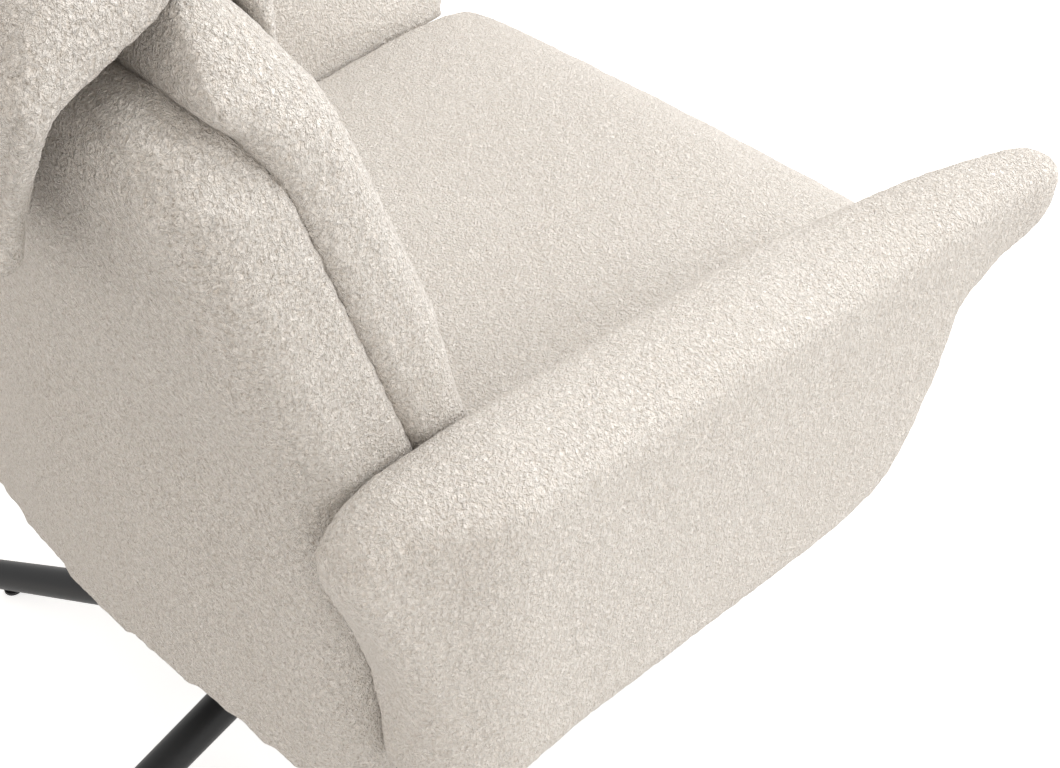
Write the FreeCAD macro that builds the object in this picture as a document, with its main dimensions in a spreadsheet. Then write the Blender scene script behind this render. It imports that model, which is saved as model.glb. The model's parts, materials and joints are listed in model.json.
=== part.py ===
import FreeCAD, Part
import math
import os
import re
import Sketcher
from FreeCAD import Placement, Rotation, Vector

# Swivel recliner lounge chair. Millimetres; the chair faces -Y, the sitter's right is -X, the floor is Z = 0.
# The origin lies on the floor below the middle of the whole chair, in front of the swivel axis.

os.makedirs("parts", exist_ok=True)
doc = FreeCAD.newDocument("recliner_chair")
sheet = doc.addObject("Spreadsheet::Sheet", "Sizes")

SIZES = [
    ("axis_y", 55, "swivel axis behind the origin"),
    ("leg_count", 5, "legs of the star base"),
    ("star_turn", 5.5, "turn of the star base below the seat, in degrees"),
    ("leg_reach", 365.8, "leg end from the swivel axis"),
    ("leg_start", 30, "leg root from the swivel axis"),
    ("leg_crown", 110, "height where the leg axes would meet"),
    ("leg_tip_z", 17.5, "height of the leg axis at its end"),
    ("leg_root_d", 36, "leg diameter at the hub"),
    ("leg_tip_d", 30, "leg diameter at its end"),
    ("leg_wall", 2, "leg tube wall"),
    ("cap_t", 3, "leg cap thickness"),
    ("cap_plug", 12, "length of the cap's plug"),
    ("glide_d", 18, "glide diameter"),
    ("glide_t", 3, "glide thickness"),
    ("glide_neck_d", 8, "glide neck diameter"),
    ("glide_inset", 11, "glide axis from the leg end"),
    ("hub_d", 88, "hub diameter"),
    ("hub_collar_d", 62, "hub collar diameter"),
    ("column_d", 50, "column diameter"),
    ("column_wall", 3, "column wall"),
    ("column_top", 236, "top of the column"),
    ("bush_len", 84, "length of the bush in the column"),
    ("bush_flange", 3, "bush flange thickness"),
    ("spindle_d", 30, "spindle diameter"),
    ("run_gap", 0.05, "radial clearance of running fits"),
    ("face_gap", 0.3, "gap between faces of different bodies"),
    ("collar_t", 9.7, "spindle collar thickness"),
    ("plate_t", 4, "sheet thickness of the swivel plate"),
    ("plate_rivet_d", 26, "spindle rivet in the plate"),
    ("tray_half", 90, "half width of the plate's tray"),
    ("flange_half", 140, "half width over the plate's flanges"),
    ("plate_depth", 180, "swivel plate front to back"),
    ("bolt_d", 8, "bolt diameter"),
    ("bolt_head_d", 14, "bolt head diameter"),
    ("bolt_head_t", 6, "bolt head height"),
    ("tray_h", 51, "height of the swivel plate up to the seat frame"),
    ("rail_t", 26, "seat rail thickness"),
    ("rail_h", 72, "seat rail height"),
    ("slat_x", 120, "slat centre from the middle"),
    ("slat_w", 48, "slat width"),
    ("slat_h", 22, "slat height"),
    ("strap_w", 52, "webbing strap width"),
    ("strap_t", 2, "webbing strap thickness"),
    ("strap_pitch", 98, "seat webbing strap spacing"),
    ("border_t", 15, "padding of the seat border"),
    ("border_drop", 4, "border edge below the frame"),
    ("cover_t", 1.5, "dust cover thickness"),
    ("arm_gap", 566, "clear width between the arms"),
    ("arm_t", 90, "arm thickness"),
    ("arm_tuck", 6, "arm's outer face drawn in at the bottom"),
    ("arm_up", 266, "top of the arms above the seat frame's underside"),
    ("arm_rear", 227, "rear end of the arms"),
    ("arm_toe", -329, "front of the arms below the wing"),
    ("wing_flare", 75, "outward flare of the arm's inner edge at the tip"),
    ("wing_spread", 24, "outward flare of the arm's outer edge at the tip"),
    ("wing_rise", 33, "rise of the arm's top at the tip"),
    ("panel_t", 18, "arm panel thickness"),
    ("seat_nose", -426, "front of the seat cushion"),
    ("seat_front_up", 185, "seat cushion edge at the front, above the frame's underside"),
    ("seat_rear_up", 130, "seat cushion edge at the rear, above the frame's underside"),
    ("seat_crown", 14, "crown of the seat cushion"),
    ("side_gap", 2.5, "gap between the back and each arm"),
    ("pivot_y", 136, "recline pivot behind the origin"),
    ("pivot_up", 75, "recline pivot above the seat frame's underside"),
    ("pin_d", 12, "recline pin diameter"),
    ("hinge_t", 5, "hinge plate thickness"),
    ("recline", 25, "recline range in degrees"),
    ("shell_wall", 22, "padding of the rear shell"),
    ("shell_drop", 30, "rear shell's edge below the seat frame's underside"),
    ("shell_up", 526, "top of the rear shell above the seat frame's underside"),
    ("shell_corner", 36, "rounding of the shell's rear corners"),
    ("shell_round", 72, "rounding of the rear shell's top corners"),
    ("pad_over", 54, "back cushion above the rear shell"),
    ("pad_crown", 25, "crown of the back cushion"),
    ("top_round", 92, "rounding of the back cushion's top corners"),
    ("stile_w", 36, "back stile width"),
    ("stile_d", 26, "back stile depth"),
    ("stile_low", 36, "back stile's foot above the pivot"),
    ("strut_arm", 60, "strut pin from the recline pivot"),
    ("strut_pin_d", 10, "strut pin diameter"),
    ("strut_d", 22, "strut cylinder diameter"),
    ("strut_rod_d", 10, "strut rod diameter"),
    ("strut_bare", 120, "strut cylinder behind the strut anchor"),
    ("anchor_y", -142, "rear face of the strut anchor"),
    ("button_d", 6, "diameter of the strut's release button"),
    ("button_out", 5, "release button ahead of the strut anchor"),
    ("lever_ahead", 27.6, "release lever shaft ahead of the strut anchor"),
    ("lever_d", 10, "release lever shaft diameter"),
    ("rest_inset", 46, "headrest's end in from the arm's inner face"),
    ("rest_pillow", 42, "thickness of the headrest's pillow in the middle"),
    ("rest_edge", 4, "thickness of the headrest's pillow at its ends"),
    ("rest_clear", 21, "space between the headrest's flap and the rear shell"),
    ("rest_flap", 24, "thickness of the headrest's rear flap"),
    ("flap_drop", 123, "edge of the headrest's flap below the rear shell's top"),
    ("flap_corner", 40, "rounding of the flap's corners"),
    ("flap_taper", 61, "flap drawn in on each side towards its corners"),
]

for row, (alias, number, note) in enumerate(SIZES, 1):
    sheet.set(f"A{row}", alias)
    sheet.set(f"B{row}", str(number))
    sheet.setAlias(f"B{row}", alias)
    sheet.set(f"C{row}", note)
doc.recompute()

# Levels and places that follow from the sizes.
DERIVED = [
    ("hub_low", "leg_crown - 32"),
    ("hub_shoulder", "leg_crown + 18"),
    ("hub_top", "leg_crown + 42"),
    ("column_seat", "leg_crown + 14"),
    ("plate_z", "column_top + bush_flange + face_gap + collar_t"),
    ("frame_z", "plate_z + tray_h"),
    ("frame_front", "seat_nose + 30"),
    ("frame_rear", "pivot_y - 100"),
    ("seat_rear", "pivot_y - 98"),
    ("seat_front_z", "frame_z + seat_front_up"),
    ("seat_rear_z", "frame_z + seat_rear_up"),
    ("arm_low", "frame_z + 4"),
    ("arm_top", "frame_z + arm_up"),
    ("arm_heel", "arm_rear - 48"),
    ("arm_tip", "arm_toe - 78"),
    ("wing_start", "arm_toe + 165"),
    ("panel_x", "arm_gap / 2 + 35"),
    ("pivot_z", "frame_z + pivot_up"),
    ("shell_low", "frame_z - shell_drop"),
    ("shell_top", "frame_z + shell_up"),
    ("pad_low", "pivot_z + 27"),
    ("pad_top", "shell_top + pad_over"),
    ("stile_top", "shell_up - 178"),
    ("rest_half", "arm_gap / 2 - rest_inset"),
    ("lever_y", "anchor_y - lever_ahead"),
    ("lever_z", "frame_z - 18"),
]
OWNERS = {alias: "Sizes" for alias, number, note in SIZES}
OWNERS.update({name: "Derived" for name, text in DERIVED})


def owned(name):
    return f"{OWNERS[name]}.{name}" if name in OWNERS else name


def bound(text):
    """An expression over the sheet and the derived values, from one written with bare names."""
    return re.sub(r"[a-z]\w*", lambda m: owned(m.group()), text)


derived = doc.addObject("App::VarSet", "Derived")
for name, text in DERIVED:
    derived.addProperty("App::PropertyFloat", name)
    derived.setExpression(name, bound(text))
doc.recompute()


class Values:
    """The numbers of the sheet and the derived values, by name."""


size = Values()
for alias, number, note in SIZES:
    setattr(size, alias, float(sheet.get(alias)))
for name, text in DERIVED:
    setattr(size, name, getattr(derived, name))

NODES = []
TURN_X = Rotation(Vector(0, 1, 0), 90)
TURN_Y = Rotation(Vector(1, 0, 0), -90)


def bind(obj, **expressions):
    for name, text in expressions.items():
        obj.setExpression(name, bound(text))
    return obj


def place(obj, x="0", y="0", z="0", turn=None):
    if turn:
        obj.Placement = Placement(Vector(), turn)
    for axis, text in zip("xyz", (x, y, z)):
        obj.setExpression("Placement.Base." + axis, bound(text))
    return obj


def node(obj, label):
    obj.Label = label
    NODES.append(obj)
    return obj


def box(name, x, y, z, dx, dy, dz):
    solid = bind(doc.addObject("Part::Box", name), Length=dx, Width=dy, Height=dz)
    return place(solid, x, y, z)


def rod(name, diameter, length, x, y, z, turn=None):
    solid = doc.addObject("Part::Cylinder", name)
    bind(solid, Radius=f"({diameter}) / 2", Height=length)
    return place(solid, x, y, z, turn)


def fuse(name, parts):
    solid = doc.addObject("Part::MultiFuse", name)
    solid.Shapes = parts
    return solid


def cut(name, base, tools):
    solid = doc.addObject("Part::Cut", name)
    solid.Base = base
    solid.Tool = tools[0] if len(tools) == 1 else fuse(name + "_tools", tools)
    return solid


def rounded(name, base, radius, wanted):
    """A solid with the edges rounded whose middle point passes a test."""
    doc.recompute()
    solid = doc.addObject("Part::Fillet", name)
    solid.Base = base
    edges = enumerate(base.Shape.Edges, 1)
    solid.Edges = [(number, radius, radius) for number, edge in edges if wanted(edge.CenterOfMass)]
    return solid


def group(name, parts):
    solids = doc.addObject("Part::Compound", name)
    solids.Links = parts
    return solids


def origin_feature(body, role):
    return next(f for f in body.Origin.OriginFeatures if f.Role == role)


def outline(body, plane, corners):
    """A closed polygon on one of the body's planes, with each corner's two coordinates bound to the sheet."""
    sketch = body.newObject("Sketcher::SketchObject", body.Name + "_outline")
    sketch.AttachmentSupport = [(origin_feature(body, plane), "")]
    sketch.MapMode = "FlatFace"
    count = len(corners)
    start = [Rotation(Vector(0, 0, 1), 360 * i / count).multVec(Vector(50, 0, 0)) for i in range(count)]
    for i in range(count):
        sketch.addGeometry(Part.LineSegment(start[i], start[(i + 1) % count]), False)
    for i in range(count):
        sketch.addConstraint(Sketcher.Constraint("Coincident", i, 2, (i + 1) % count, 1))
    for i, (across, up) in enumerate(corners):
        for kind, text, now in (("DistanceX", across, start[i].x), ("DistanceY", up, start[i].y)):
            index = sketch.addConstraint(Sketcher.Constraint(kind, -1, 1, i, 1, now))
            sketch.setExpression(f"Constraints[{index}]", bound(text))
    doc.recompute()
    return sketch


def turned(name, corners):
    """A body turned about its Z axis from a half section of (radius, height) corners."""
    body = doc.addObject("PartDesign::Body", name)
    revolution = body.newObject("PartDesign::Revolution", name + "_turn")
    sketch = outline(body, "XZ_Plane", corners)
    revolution.Profile = sketch
    revolution.ReferenceAxis = (origin_feature(body, "Z_Axis"), [""])
    revolution.Angle = 360
    body.Tip = revolution
    return body


def padded(name, plane, corners, length):
    """A body with one pad, centred on the plane of its outline."""
    body = doc.addObject("PartDesign::Body", name)
    pad = body.newObject("PartDesign::Pad", name + "_pad")
    pad.Profile = outline(body, plane, corners)
    pad.SideType = "Symmetric"
    bind(pad, Length=length)
    body.Tip = pad
    return body


def line(a, b):
    return Part.makeLine(Vector(*a), Vector(*b))


def arc(a, via, b):
    return Part.Arc(Vector(*a), Vector(*via), Vector(*b)).toShape()


def loft(wires):
    return Part.makeLoft(wires, True, True)


def form(name, shape):
    solid = doc.addObject("Part::Feature", name)
    solid.Shape = shape
    return solid


def blend(stations, at):
    """The value at a place on a polyline of (place, value) stations."""
    for (a, low), (b, high) in zip(stations, stations[1:]):
        if at <= b:
            return low + (high - low) * max(0, at - a) / (b - a)
    return stations[-1][1]


def clamp(share):
    return max(0, min(1, share))


SIDES = (("right", -1), ("left", 1))


# Star base: hub, tube legs with caps and glides, column and bush.

LEG_PLACES = ("rear", "rear_right", "front_right", "front_left", "rear_left")
leg_slope = (size.leg_crown - size.leg_tip_z) / size.leg_reach
leg_pitch = math.degrees(math.atan(leg_slope))
leg_length = (size.leg_reach - size.leg_start) * math.hypot(1, leg_slope)


def leg_heading(index):
    return 90 + size.star_turn + 360 * index / int(size.leg_count)


def leg_turn(index):
    along = Rotation(Vector(0, 0, 1), leg_heading(index))
    return along.multiply(Rotation(Vector(0, 1, 0), 90 + leg_pitch))


def leg_point(index, reach, height):
    heading = math.radians(leg_heading(index))
    return Vector(reach * math.cos(heading), size.axis_y + reach * math.sin(heading), height)


def leg_cone(name, index, shrink):
    cone = doc.addObject("Part::Cone", name)
    bind(cone, Radius1=f"leg_root_d / 2 - {shrink}", Radius2=f"leg_tip_d / 2 - {shrink}")
    cone.Height = leg_length
    root_z = size.leg_crown - leg_slope * size.leg_start
    cone.Placement = Placement(leg_point(index, size.leg_start, root_z), leg_turn(index))
    return cone


def glide(index):
    disc = rod(f"glide_disc_{index}", "glide_d", "glide_t", "0", "0", "0")
    neck = rod(f"glide_neck_{index}", "glide_neck_d", "leg_tip_z + 4", "0", "0", "0")
    solid = fuse(f"glide_{index}", [disc, neck])
    solid.Placement = Placement(leg_point(index, size.leg_reach - size.glide_inset, 0), Rotation())
    return solid


def leg_cap(index):
    disc = rod(f"cap_disc_{index}", "leg_tip_d", "cap_t", "0", "0", "0")
    plug = rod(f"cap_plug_{index}", "leg_tip_d - 2 * leg_wall", "cap_t + cap_plug", "0", "0", "-cap_plug")
    solid = fuse(f"cap_{index}", [disc, plug])
    solid.Placement = Placement(leg_point(index, size.leg_reach, size.leg_tip_z), leg_turn(index))
    return solid


sockets = []
glides = []
caps = []
for index in range(int(size.leg_count)):
    place_name = LEG_PLACES[index] if size.leg_count == len(LEG_PLACES) else str(index + 1)
    glides.append(glide(index))
    caps.append(leg_cap(index))
    sockets.append(leg_cone(f"socket_{index}", index, "0"))
    tube = cut(
        f"tube_{index}",
        leg_cone(f"tube_outer_{index}", index, "0"),
        [leg_cone(f"tube_bore_{index}", index, "leg_wall"), glides[index], caps[index]],
    )
    node(tube, "leg_" + place_name)
clear_caps = []
for index in range(int(size.leg_count)):
    clear_caps.append(cut(f"cap_clear_{index}", caps[index], [glides[index]]))
node(group("glides", glides), "leg_glides")
node(group("caps", clear_caps), "leg_caps")

collar_chamfer = "(hub_collar_d - column_d) / 4"
hub = turned("hub", [
    ("0", "hub_low"),
    ("hub_d / 2 - 6", "hub_low"),
    ("hub_d / 2", "hub_low + 6"),
    ("hub_d / 2", "hub_shoulder - 8"),
    ("hub_collar_d / 2", "hub_shoulder + 4"),
    ("hub_collar_d / 2", f"hub_top - {collar_chamfer}"),
    (f"hub_collar_d / 2 - {collar_chamfer}", "hub_top"),
    ("column_d / 2", "hub_top"),
    ("column_d / 2", "column_seat"),
    ("0", "column_seat"),
])
node(cut("hub_socketed", place(hub, y="axis_y"), sockets), "base_hub")

column = turned("column", [
    ("column_d / 2 - column_wall", "column_seat"),
    ("column_d / 2", "column_seat"),
    ("column_d / 2", "column_top"),
    ("column_d / 2 - column_wall", "column_top"),
])
node(place(column, y="axis_y"), "column_tube")

bush = turned("bush", [
    ("spindle_d / 2 + run_gap", "column_top - bush_len"),
    ("column_d / 2 - column_wall", "column_top - bush_len"),
    ("column_d / 2 - column_wall", "column_top"),
    ("column_d / 2", "column_top"),
    ("column_d / 2", "column_top + bush_flange"),
    ("spindle_d / 2 + run_gap", "column_top + bush_flange"),
])
node(place(bush, y="axis_y"), "swivel_bush")


# Swivel: spindle riveted into a pressed plate that bolts up into the slats of the seat frame.

spindle = turned("spindle", [
    ("0", "column_top - bush_len - 6"),
    ("spindle_d / 2 - 2", "column_top - bush_len - 6"),
    ("spindle_d / 2", "column_top - bush_len - 4"),
    ("spindle_d / 2", "column_top + bush_flange + face_gap"),
    ("column_d / 2", "column_top + bush_flange + face_gap"),
    ("column_d / 2", "plate_z"),
    ("plate_rivet_d / 2", "plate_z"),
    ("plate_rivet_d / 2", "plate_z + plate_t + 3"),
    ("0", "plate_z + plate_t + 3"),
])
node(place(spindle, y="axis_y"), "swivel_spindle")

tray = padded(
    "tray",
    "XZ_Plane",
    [
        ("-tray_half", "plate_z"),
        ("tray_half", "plate_z"),
        ("tray_half", "frame_z - plate_t"),
        ("flange_half", "frame_z - plate_t"),
        ("flange_half", "frame_z"),
        ("tray_half - plate_t", "frame_z"),
        ("tray_half - plate_t", "plate_z + plate_t"),
        ("plate_t - tray_half", "plate_z + plate_t"),
        ("plate_t - tray_half", "frame_z"),
        ("-flange_half", "frame_z"),
        ("-flange_half", "frame_z - plate_t"),
        ("-tray_half", "frame_z - plate_t"),
    ],
    "plate_depth",
)
place(tray, y="axis_y")
tray_bolts = []
tray_holes = [rod("tray_rivet", "plate_rivet_d", "plate_t", "0", "axis_y", "plate_z")]
for side, sign in SIDES:
    for end, way in (("front", -1), ("rear", 1)):
        x = f"{sign} * (tray_half + flange_half) / 2"
        y = f"axis_y + {way} * (plate_depth / 2 - 25)"
        shank = rod(f"tray_shank_{end}_{side}", "bolt_d", "plate_t + slat_h - 4", x, y, "frame_z - plate_t")
        head_z = "frame_z - plate_t - bolt_head_t"
        head = rod(f"tray_head_{end}_{side}", "bolt_head_d", "bolt_head_t", x, y, head_z)
        tray_holes.append(rod(f"tray_hole_{end}_{side}", "bolt_d", "plate_t", x, y, "frame_z - plate_t"))
        tray_bolts.append(fuse(f"tray_bolt_{end}_{side}", [shank, head]))
node(cut("tray_drilled", tray, tray_holes), "swivel_plate")
node(group("tray_bolts", tray_bolts), "plate_bolts")


# Seat: wooden frame with slats, webbing, padded border, dust cover and cushion.

frame_half = "(arm_gap / 2 - border_t)"
frame_long = "(frame_rear - frame_front)"
rail_top = "(frame_z + rail_h)"
frame_wide = f"2 * {frame_half}"
frame_outer = box("frame_outer", f"-{frame_half}", "frame_front", "frame_z", frame_wide, frame_long, "rail_h")
frame_inner = box(
    "frame_inner",
    f"rail_t - {frame_half}",
    "frame_front + rail_t",
    "frame_z - 1",
    f"2 * ({frame_half} - rail_t)",
    f"{frame_long} - 2 * rail_t",
    "rail_h + 2",
)
strut_notch = box("strut_notch", "-24", "frame_rear - rail_t - 1", "frame_z - 1", "48", "rail_t + 2", "46")
frame_ring = cut("frame_ring", frame_outer, [frame_inner, strut_notch])
slats = []
for side, sign in SIDES:
    slats.append(box(
        f"slat_{side}",
        f"{sign} * slat_x - slat_w / 2",
        "frame_front + rail_t",
        "frame_z",
        "slat_w",
        "axis_y + plate_depth / 2 - frame_front - rail_t",
        "slat_h",
    ))

ARM_BOLT_Y = ("frame_front + 178", "frame_front + 290", "frame_rear - 48")
arm_bolt_z = "(frame_z + rail_h - 14)"
arm_bolts = []
arm_bores = {"right": [], "left": []}
for side, sign in SIDES:
    for count, y in enumerate(ARM_BOLT_Y):
        head_x = f"{sign} * ({frame_half} - rail_t) - bolt_head_t * {(1 + sign) // 2}"
        reach = f"(panel_x + panel_t - {frame_half} + rail_t - 4)"
        shank_x = f"{sign} * ({frame_half} - rail_t) - {reach} * {(1 - sign) // 2}"
        tag = f"{side}_{count}"
        head = rod(f"arm_head_{tag}", "bolt_head_d", "bolt_head_t", head_x, y, arm_bolt_z, TURN_X)
        shank = rod(f"arm_shank_{tag}", "bolt_d", reach, shank_x, y, arm_bolt_z, TURN_X)
        arm_bores[side].append(rod(f"arm_bore_{tag}", "bolt_d", reach, shank_x, y, arm_bolt_z, TURN_X))
        arm_bolts.append(fuse(f"arm_bolt_{tag}", [head, shank]))
all_arm_bores = arm_bores["right"] + arm_bores["left"]
node(group("arm_bolts", arm_bolts), "arm_bolts")
frame_wood = fuse("frame_wood", [frame_ring] + slats)
slat_bores = []
for side, sign in SIDES:
    for end, way in (("front", -1), ("rear", 1)):
        x = f"{sign} * (tray_half + flange_half) / 2"
        y = f"axis_y + {way} * (plate_depth / 2 - 25)"
        slat_bores.append(rod(f"slat_bore_{end}_{side}", "bolt_d", "slat_h - 4", x, y, "frame_z"))
node(cut("frame_drilled", frame_wood, all_arm_bores + slat_bores), "seat_frame")

straps = []
for count in range(-2, 3):
    straps.append(box(
        f"seat_strap_{count + 2}",
        f"{count} * strap_pitch - strap_w / 2",
        "frame_front + 4",
        rail_top,
        "strap_w",
        f"{frame_long} - 8",
        "strap_t",
    ))
node(group("seat_straps", straps), "seat_webbing")

border_outer = box(
    "border_outer",
    "-arm_gap / 2",
    "frame_front - border_t",
    "frame_z - border_drop",
    "arm_gap",
    f"{frame_long} + border_t",
    "rail_h + border_drop + strap_t",
)
border_inner = box(
    "border_inner",
    f"-{frame_half}",
    "frame_front",
    "frame_z - border_drop - 1",
    f"2 * {frame_half}",
    f"{frame_long} + 1",
    "rail_h + border_drop + strap_t + 2",
)
border_front = size.frame_front - size.border_t
border_sides = rounded(
    "border_sides",
    border_outer,
    size.border_t + 6,
    lambda at: at.y < border_front + 1 and abs(at.x) > size.arm_gap / 2 - 1,
)
border_soft = rounded(
    "border_soft",
    border_sides,
    9,
    lambda at: at.y < border_front + 0.1 and abs(at.x) < 1,
)
node(cut("border", border_soft, [border_inner] + all_arm_bores), "seat_border")

cover_sheet = box("cover_sheet", f"-{frame_half}", "frame_front", "frame_z - cover_t", f"2 * {frame_half}",
                  frame_long, "cover_t")
cover_window = box("cover_window", "-slat_x - slat_w / 2 - 2", "lever_y - 12", "frame_z - cover_t - 1",
                   "2 * slat_x + slat_w + 4", "frame_rear - lever_y + 13", "cover_t + 2")
node(cut("cover", cover_sheet, [cover_window]), "dust_cover")


def seat_section(y, inset, low, edge, crown):
    """One section across the seat cushion: flat base, drawn-in sides and a crowned top."""
    half = size.arm_gap / 2 - 2 - inset
    tall = edge - low
    base = [(-half + 9, y, low), (half - 9, y, low)]
    rim = [(half - 7, y, edge), (-half + 7, y, edge)]
    return Part.Wire([
        line(*base),
        arc(base[1], (half, y, low + 0.55 * tall), rim[0]),
        arc(rim[0], (0, y, edge + crown), rim[1]),
        arc(rim[1], (-half, y, low + 0.55 * tall), base[0]),
    ])


seat_base = size.frame_z + size.rail_h + size.strap_t


def seat_edge(y):
    ends = [(size.seat_nose, size.seat_front_z), (size.seat_rear, size.seat_rear_z)]
    return blend(ends, y)


seat_wires = []
for back_from_nose, inset, lift, sink, crown in (
    (0, 50, 26, 58, 0.3),
    (6, 30, 13, 42, 0.45),
    (16, 14, 4, 28, 0.6),
    (34, 4, 0, 14, 0.8),
    (60, 0, 0, 6, 0.92),
    (95, 0, 0, 1.5, 1),
    (130, 0, 0, 0, 1),
    (250, 0, 0, 0, 1),
):
    y = size.seat_nose + back_from_nose
    seat_wires.append(seat_section(y, inset, seat_base + lift, seat_edge(y) - sink, size.seat_crown * crown))
for ahead_of_rear, inset, sink, crown in ((40, 0, 0, 0.8), (10, 2, 3, 0.5), (0, 7, 12, 0.3)):
    y = size.seat_rear - ahead_of_rear
    seat_wires.append(seat_section(y, inset, seat_base, seat_edge(y) - sink, size.seat_crown * crown))
node(form("seat_cushion", loft(seat_wires)), "seat_cushion")


# Arms: a padded slab on a plywood panel, whose upper front corner sweeps forward and outward into a wing.

wing_long = size.wing_start - size.arm_tip
seat_level = size.seat_front_z - 8


def wing_share(y):
    return clamp((size.wing_start - y) / wing_long)


def arm_height(share):
    """Height at a share of the way from the arm's underside to its top."""
    return size.arm_low + share * (size.arm_top - size.arm_low)


HEEL_CREST = [
    (size.arm_rear - 100, 0),
    (size.arm_rear - 70, 1),
    (size.arm_rear - 42, 7),
    (size.arm_rear - 20, 19),
    (size.arm_rear - 8, 28),
    (size.arm_rear, 42),
]
SOLE = [
    (size.arm_tip, arm_height(0.97)),
    (size.arm_tip + 3, arm_height(0.92)),
    (size.arm_tip + 15, arm_height(0.865)),
    (size.arm_toe - 35, arm_height(0.803)),
    (size.arm_toe - 20, arm_height(0.742)),
    (size.arm_toe, arm_height(0.64)),
    (size.arm_toe + 4, arm_height(0.52)),
    (size.arm_toe + 10, arm_height(0.37)),
    (size.arm_toe + 23, arm_height(0.21)),
    (size.arm_toe + 45, arm_height(0.085)),
    (size.arm_toe + 68, arm_height(0.04)),
    (size.arm_toe + 95, arm_height(0.015)),
    (size.arm_toe + 130, size.arm_low),
    (size.arm_heel, size.arm_low),
    (size.arm_heel + 4, arm_height(0.18)),
    (size.arm_heel + 13, arm_height(0.37)),
    (size.arm_heel + 25, arm_height(0.55)),
    (size.arm_heel + 40, arm_height(0.7)),
    (size.arm_rear, arm_height(0.79)),
]


def arm_crest(y):
    """Top of the arm: level, rising into the wing, rounded down at the rear end and at the tip."""
    tip = 12 * clamp((size.arm_tip + 18 - y) / 18) ** 2
    return size.arm_top + size.wing_rise * wing_share(y) ** 1.8 - tip - blend(HEEL_CREST, y)


def arm_inner(y, z):
    lift = clamp((z - seat_level) / (arm_crest(y) - seat_level))
    return size.arm_gap / 2 + lift * size.wing_flare * wing_share(y) ** 1.3


def arm_outer(y, z):
    waist = size.arm_low + 108
    tuck = size.arm_tuck * clamp((waist - z) / 108)
    lift = clamp((z - waist) / (arm_crest(y) - waist))
    return size.arm_gap / 2 + size.arm_t - tuck + lift * size.wing_spread * wing_share(y) ** 1.6


def arm_section(sign, y, inset):
    """One section across an arm: a slab with rounded corners and a knee inside where the wing starts."""
    low = blend(SOLE, y)
    high = arm_crest(y)
    tall = high - low
    width = arm_outer(y, high) - arm_inner(y, high) - 2 * inset
    sole_r = min(10, 0.3 * tall, 0.3 * width)
    brow_r = min(20, 0.38 * tall, 0.42 * width)
    foot = low + sole_r
    brow = high - brow_r
    knee = seat_level if foot < seat_level - 10 and brow > seat_level + 10 else (foot + brow) / 2
    inner = [arm_inner(y, z) + inset for z in (foot, knee, brow)]
    outer = [arm_outer(y, z) - inset for z in (brow, foot)]
    corners = [
        (inner[0], foot),
        (inner[1], knee),
        (inner[2], brow),
        (inner[2] + brow_r, high),
        (outer[0] - brow_r, high),
        (outer[0], brow),
        (outer[1], foot),
        (outer[1] - sole_r, low),
        (inner[0] + sole_r, low),
    ]
    bend = 1 - math.sqrt(0.5)
    turns = [
        (inner[2] + bend * brow_r, high - bend * brow_r),
        ((inner[2] + outer[0]) / 2, high + 0.05 * width),
        (outer[0] - bend * brow_r, high - bend * brow_r),
        (outer[1] - bend * sole_r, low + bend * sole_r),
        (inner[0] + bend * sole_r, low + bend * sole_r),
    ]
    a, b, c, d, e, f, g, h, i = [(sign * x, y, z) for x, z in corners]
    cd, de, ef, gh, ia = [(sign * x, y, z) for x, z in turns]
    return Part.Wire([
        line(a, b),
        line(b, c),
        arc(c, cd, d),
        arc(d, de, e),
        arc(e, ef, f),
        line(f, g),
        arc(g, gh, h),
        line(h, i),
        arc(i, ia, a),
    ])


ARM_STATIONS = (
    (size.arm_rear, 15),
    (size.arm_rear - 3, 9),
    (size.arm_rear - 8, 4.5),
    (size.arm_rear - 20, 1),
    (size.arm_heel + 13, 0),
    (size.arm_heel + 4, 0),
    (size.arm_heel, 0),
    (size.arm_rear - 100, 0),
    (size.wing_start, 0),
    (size.arm_toe + 130, 0),
    (size.arm_toe + 95, 0),
    (size.arm_toe + 68, 0),
    (size.arm_toe + 45, 0),
    (size.arm_toe + 23, 0.5),
    (size.arm_toe + 10, 1),
    (size.arm_toe + 4, 1.5),
    (size.arm_toe, 2),
    (size.arm_toe - 20, 2),
    (size.arm_toe - 35, 2),
    (size.arm_tip + 15, 2.5),
    (size.arm_tip + 7, 4),
    (size.arm_tip + 3, 6),
    (size.arm_tip, 10),
)

for side, sign in SIDES:
    panel = padded(
        f"panel_{side}",
        "YZ_Plane",
        [
            ("arm_toe + 80", "arm_low + 33"),
            ("arm_heel - 22", "arm_low + 33"),
            ("arm_heel - 8", "arm_top - 70"),
            ("arm_heel - 32", "arm_top - 40"),
            ("arm_toe + 85", "arm_top - 34"),
        ],
        "panel_t",
    )
    place(panel, x=f"{sign} * (panel_x + panel_t / 2)")
    node(cut(f"panel_drilled_{side}", panel, arm_bores[side]), f"arm_panel_{side}")
    slab = form(f"arm_slab_{side}", loft([arm_section(sign, y, inset) for y, inset in ARM_STATIONS]))
    node(cut(f"arm_{side}", slab, [panel] + arm_bores[side]), f"arm_pad_{side}")


# Recline hinge: seat brackets with pins, on which the plates of the back frame turn.

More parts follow.
